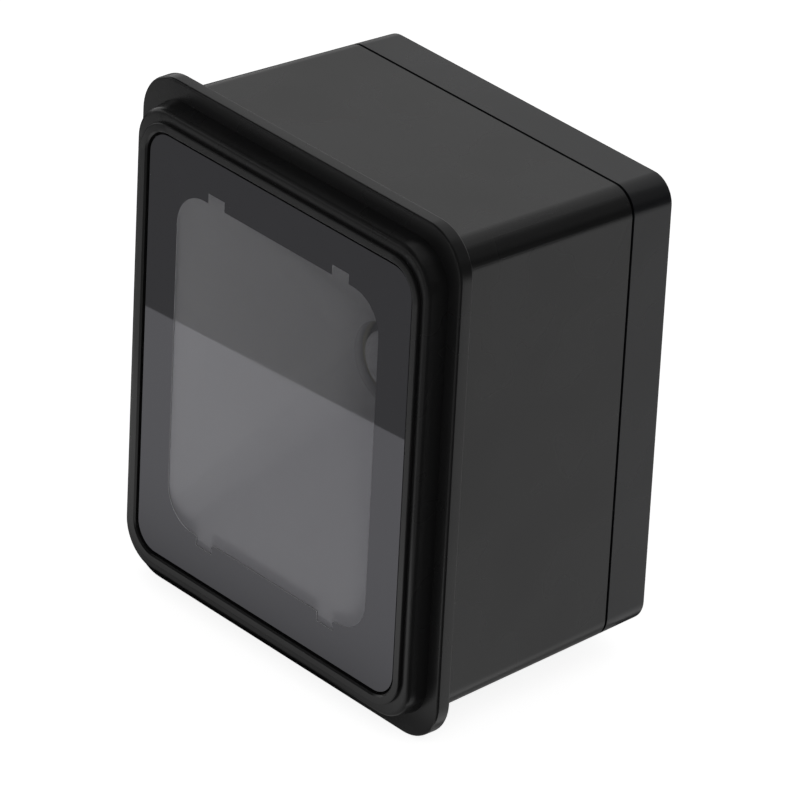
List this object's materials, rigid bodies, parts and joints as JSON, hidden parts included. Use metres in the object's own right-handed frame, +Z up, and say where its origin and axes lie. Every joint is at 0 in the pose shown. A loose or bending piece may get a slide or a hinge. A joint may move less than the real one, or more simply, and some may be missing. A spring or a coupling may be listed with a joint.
{
  "type": "fixed-mount barcode scanner",
  "caption": "Box-shaped fixed-mount barcode scanner with a flange and a raised bezel round a large glass window, a lit camera behind it and a screwed rear cover with a modular socket.",
  "frame": {"origin": "centre of the four mounting inserts, on the rear face", "axes": "+Y out of the rear face, so the window looks along -Y; +Z up along the longer side of the window; +X to the right of someone who faces the window"},
  "size_m": [0.066, 0.0444, 0.0776],
  "materials": {
    "housing": "finely eroded black moulding",
    "cover": "finely eroded black moulding",
    "window": "polished smoked glass",
    "mask": "black enamel print",
    "tape": "black foam adhesive",
    "hood": "milky moulding",
    "laminate": "green solder resist on glass laminate",
    "lamps": "yellow phosphor in a white package",
    "chips": "black moulding compound",
    "plated_steel": "bright zinc plate",
    "barrel": "black anodised",
    "lens": "coated optical glass",
    "holder": "black moulding",
    "sensor": "glass-lidded package",
    "connector": "black glass-filled moulding",
    "coil": "grey ferrite",
    "capacitors": "fired ceramic",
    "contacts": "gold flash",
    "gasket": "black silicone",
    "cover_screws": "black zinc plate",
    "inserts": "machined brass"
  },
  "bodies": {
    "root": {"front_housing": "housing", "window_glass": "window", "window_mask": "mask", "window_tape": "tape", "light_hood": "hood", "led_board": "laminate", "illumination_leds": "lamps", "led_drivers": "chips", "board_spacers": "plated_steel", "stack_screws": "plated_steel", "lens_barrel": "barrel", "front_lens": "lens", "rear_lens": "lens", "lens_holder": "holder", "holder_screws": "plated_steel", "image_sensor": "sensor", "main_board": "laminate", "board_connector": "connector", "decoder_chip": "chips", "memory_chip": "chips", "flash_chip": "chips", "power_coil": "coil", "filter_capacitors": "capacitors", "clock_crystal": "plated_steel", "beeper": "connector", "interface_socket": "connector", "socket_contacts": "contacts", "cover_gasket": "gasket", "rear_cover": "cover", "cover_screws": "cover_screws", "mounting_inserts": "inserts"}
  },
  "joints": []
}
